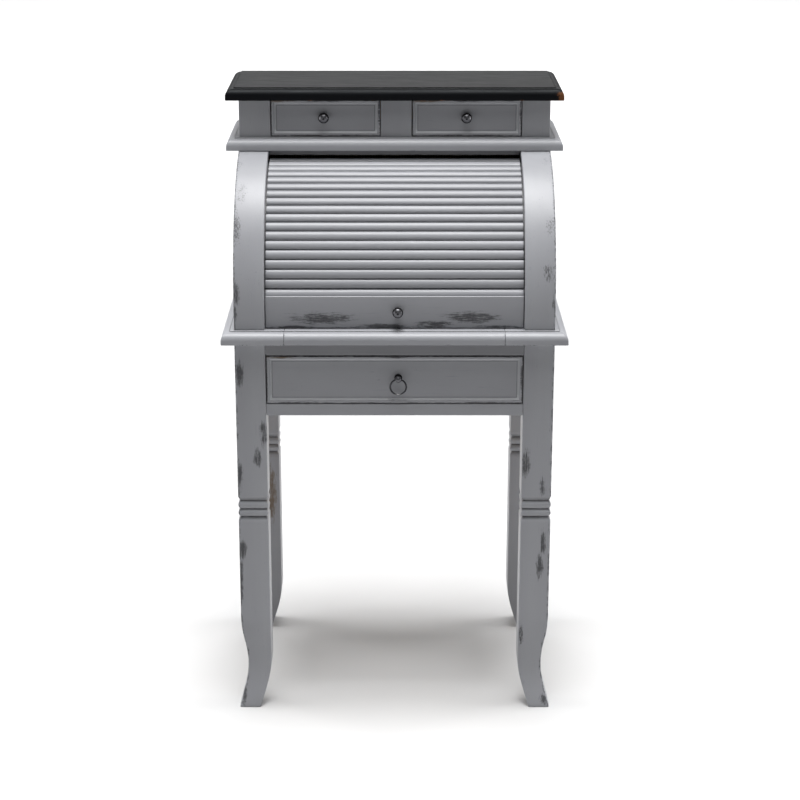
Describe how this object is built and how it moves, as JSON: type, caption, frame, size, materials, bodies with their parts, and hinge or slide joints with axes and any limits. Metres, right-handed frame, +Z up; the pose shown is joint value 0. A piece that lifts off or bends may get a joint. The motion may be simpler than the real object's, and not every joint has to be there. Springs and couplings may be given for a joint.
{
  "type": "roll top desk",
  "caption": "Narrow roll top writing desk on sabre legs, with a quarter-round tambour over a pull-out writing board, a wide drawer with a ring pull and small knobbed drawers on top.",
  "frame": {"origin": "on the floor, under the middle of the desk's bounding box", "axes": "+X to the desk's right as the sitter sees it from the front, +Y to the back, +Z up"},
  "size_m": [0.65, 0.466, 1.1975],
  "materials": {
    "grey_paint": "satin grey paint, rubbed through to dark wood at the edges",
    "black_paint": "satin black paint with brown wear at the corners",
    "dark_metal": "dark antique metal, slightly polished where it is touched",
    "bare_wood": "bare planed wood",
    "plywood": "bare plywood"
  },
  "bodies": {
    "carcass": {"leg_front_left": "grey_paint", "leg_front_right": "grey_paint", "leg_rear_left": "grey_paint", "leg_rear_right": "grey_paint", "apron_top_rail": "grey_paint", "apron_bottom_rail": "grey_paint", "apron_rear": "grey_paint", "apron_side_left": "grey_paint", "apron_side_right": "grey_paint", "drawer_runner_left": "bare_wood", "drawer_runner_right": "bare_wood", "desktop_left": "grey_paint", "desktop_right": "grey_paint", "desktop_rear": "grey_paint", "hutch_side_left": "grey_paint", "hutch_side_right": "grey_paint", "arch_band_left": "grey_paint", "arch_band_right": "grey_paint", "hutch_liner_left": "grey_paint", "hutch_liner_right": "grey_paint", "hutch_back": "plywood", "compartment_back": "grey_paint", "valance": "grey_paint", "cornice_board": "grey_paint", "cabinet_stile_left": "grey_paint", "cabinet_stile_middle": "grey_paint", "cabinet_stile_right": "grey_paint", "cabinet_back": "plywood", "top_board": "black_paint"},
    "writing_board": {"writing_board": "grey_paint"},
    "tambour_rail": {"tambour_rail": "grey_paint", "tambour_knob": "dark_metal"},
    "tambour_slat_01": {"tambour_slat_01": "grey_paint"},
    "tambour_slat_02": {"tambour_slat_02": "grey_paint"},
    "tambour_slat_03": {"tambour_slat_03": "grey_paint"},
    "tambour_slat_04": {"tambour_slat_04": "grey_paint"},
    "tambour_slat_05": {"tambour_slat_05": "grey_paint"},
    "tambour_slat_06": {"tambour_slat_06": "grey_paint"},
    "tambour_slat_07": {"tambour_slat_07": "grey_paint"},
    "tambour_slat_08": {"tambour_slat_08": "grey_paint"},
    "tambour_slat_09": {"tambour_slat_09": "grey_paint"},
    "tambour_slat_10": {"tambour_slat_10": "grey_paint"},
    "tambour_slat_11": {"tambour_slat_11": "grey_paint"},
    "tambour_slat_12": {"tambour_slat_12": "grey_paint"},
    "tambour_slat_13": {"tambour_slat_13": "grey_paint"},
    "tambour_slat_14": {"tambour_slat_14": "grey_paint"},
    "tambour_slat_15": {"tambour_slat_15": "grey_paint"},
    "tambour_slat_16": {"tambour_slat_16": "grey_paint"},
    "tambour_slat_17": {"tambour_slat_17": "grey_paint"},
    "desk_drawer": {"desk_drawer_front": "grey_paint", "desk_drawer_box": "bare_wood", "desk_drawer_bottom": "plywood", "ring_pull_post": "dark_metal"},
    "ring_pull": {"ring_pull": "dark_metal"},
    "left_drawer": {"left_drawer_front": "grey_paint", "left_drawer_tray": "bare_wood", "left_drawer_knob": "dark_metal"},
    "right_drawer": {"right_drawer_front": "grey_paint", "right_drawer_tray": "bare_wood", "right_drawer_knob": "dark_metal"}
  },
  "joints": [
    {"name": "writing_board_slide", "type": "slide", "parent": "carcass", "child": "writing_board", "axis": [0, -1, 0], "range_m": [0, 0.2]},
    {"name": "desk_drawer_slide", "type": "slide", "parent": "carcass", "child": "desk_drawer", "axis": [0, -1, 0], "range_m": [0, 0.3]},
    {"name": "left_drawer_slide", "type": "slide", "parent": "carcass", "child": "left_drawer", "axis": [0, -1, 0], "range_m": [0, 0.14]},
    {"name": "right_drawer_slide", "type": "slide", "parent": "carcass", "child": "right_drawer", "axis": [0, -1, 0], "range_m": [0, 0.14]},
    {"name": "ring_pull_swing", "type": "hinge", "parent": "desk_drawer", "child": "ring_pull", "pos_m": [0.007, -0.216, 0.683], "axis": [-1, 0, 0], "range_deg": [0, 170]},
    {"name": "tambour_roll", "type": "hinge", "parent": "carcass", "child": "tambour_rail", "pos_m": [0, 0.059, 0.812], "axis": [-1, 0, 0], "range_deg": [0, 64]},
    {"name": "slat_01_roll", "type": "hinge", "parent": "carcass", "child": "tambour_slat_01", "pos_m": [0, 0.059, 0.812], "axis": [-1, 0, 0], "range_deg": [0, 64.02]},
    {"name": "slat_02_roll", "type": "hinge", "parent": "carcass", "child": "tambour_slat_02", "pos_m": [0, 0.059, 0.812], "axis": [-1, 0, 0], "range_deg": [0, 64.02]},
    {"name": "slat_03_roll", "type": "hinge", "parent": "carcass", "child": "tambour_slat_03", "pos_m": [0, 0.05402, 0.81791], "axis": [-1, 0, 0], "range_deg": [0, 65.99]},
    {"name": "slat_04_roll", "type": "hinge", "parent": "carcass", "child": "tambour_slat_04", "pos_m": [0, 0.04914, 0.8246], "axis": [-1, 0, 0], "range_deg": [0, 68.22]},
    {"name": "slat_05_roll", "type": "hinge", "parent": "carcass", "child": "tambour_slat_05", "pos_m": [0, 0.04506, 0.83123], "axis": [-1, 0, 0], "range_deg": [0, 70.46]},
    {"name": "slat_06_roll", "type": "hinge", "parent": "carcass", "child": "tambour_slat_06", "pos_m": [0, 0.04172, 0.83778], "axis": [-1, 0, 0], "range_deg": [0, 72.69]},
    {"name": "slat_07_roll", "type": "hinge", "parent": "carcass", "child": "tambour_slat_07", "pos_m": [0, 0.03909, 0.84419], "axis": [-1, 0, 0], "range_deg": [0, 74.92]},
    {"name": "slat_08_roll", "type": "hinge", "parent": "carcass", "child": "tambour_slat_08", "pos_m": [0, 0.03713, 0.85044], "axis": [-1, 0, 0], "range_deg": [0, 77.15]},
    {"name": "slat_09_roll", "type": "hinge", "parent": "carcass", "child": "tambour_slat_09", "pos_m": [0, 0.0358, 0.8565], "axis": [-1, 0, 0], "range_deg": [0, 79.39]},
    {"name": "slat_10_roll", "type": "hinge", "parent": "carcass", "child": "tambour_slat_10", "pos_m": [0, 0.03507, 0.86232], "axis": [-1, 0, 0], "range_deg": [0, 81.62]},
    {"name": "slat_11_roll", "type": "hinge", "parent": "carcass", "child": "tambour_slat_11", "pos_m": [0, 0.03489, 0.86789], "axis": [-1, 0, 0], "range_deg": [0, 83.85]},
    {"name": "slat_12_roll", "type": "hinge", "parent": "carcass", "child": "tambour_slat_12", "pos_m": [0, 0.03523, 0.87318], "axis": [-1, 0, 0], "range_deg": [0, 86.09]},
    {"name": "slat_13_roll", "type": "hinge", "parent": "carcass", "child": "tambour_slat_13", "pos_m": [0, 0.03605, 0.87816], "axis": [-1, 0, 0], "range_deg": [0, 88.32]},
    {"name": "slat_14_roll", "type": "hinge", "parent": "carcass", "child": "tambour_slat_14", "pos_m": [0, 0.03731, 0.88281], "axis": [-1, 0, 0], "range_deg": [0, 90.55]},
    {"name": "slat_15_roll", "type": "hinge", "parent": "carcass", "child": "tambour_slat_15", "pos_m": [0, 0.03898, 0.8871], "axis": [-1, 0, 0], "range_deg": [0, 92.78]},
    {"name": "slat_16_roll", "type": "hinge", "parent": "carcass", "child": "tambour_slat_16", "pos_m": [0, 0.041, 0.89103], "axis": [-1, 0, 0], "range_deg": [0, 95.02]},
    {"name": "slat_17_roll", "type": "hinge", "parent": "carcass", "child": "tambour_slat_17", "pos_m": [0, 0.04336, 0.89458], "axis": [-1, 0, 0], "range_deg": [0, 97.25]}
  ],
  "couplings": [
    {"joint": "slat_01_roll", "follows": "tambour_roll", "ratio": 1},
    {"joint": "slat_02_roll", "follows": "tambour_roll", "ratio": 1},
    {"joint": "slat_03_roll", "follows": "tambour_roll", "ratio": 1.0308},
    {"joint": "slat_04_roll", "follows": "tambour_roll", "ratio": 1.0657},
    {"joint": "slat_05_roll", "follows": "tambour_roll", "ratio": 1.1006},
    {"joint": "slat_06_roll", "follows": "tambour_roll", "ratio": 1.1354},
    {"joint": "slat_07_roll", "follows": "tambour_roll", "ratio": 1.1703},
    {"joint": "slat_08_roll", "follows": "tambour_roll", "ratio": 1.2052},
    {"joint": "slat_09_roll", "follows": "tambour_roll", "ratio": 1.2401},
    {"joint": "slat_10_roll", "follows": "tambour_roll", "ratio": 1.275},
    {"joint": "slat_11_roll", "follows": "tambour_roll", "ratio": 1.3099},
    {"joint": "slat_12_roll", "follows": "tambour_roll", "ratio": 1.3448},
    {"joint": "slat_13_roll", "follows": "tambour_roll", "ratio": 1.3797},
    {"joint": "slat_14_roll", "follows": "tambour_roll", "ratio": 1.4145},
    {"joint": "slat_15_roll", "follows": "tambour_roll", "ratio": 1.4494},
    {"joint": "slat_16_roll", "follows": "tambour_roll", "ratio": 1.4843},
    {"joint": "slat_17_roll", "follows": "tambour_roll", "ratio": 1.5192}
  ]
}
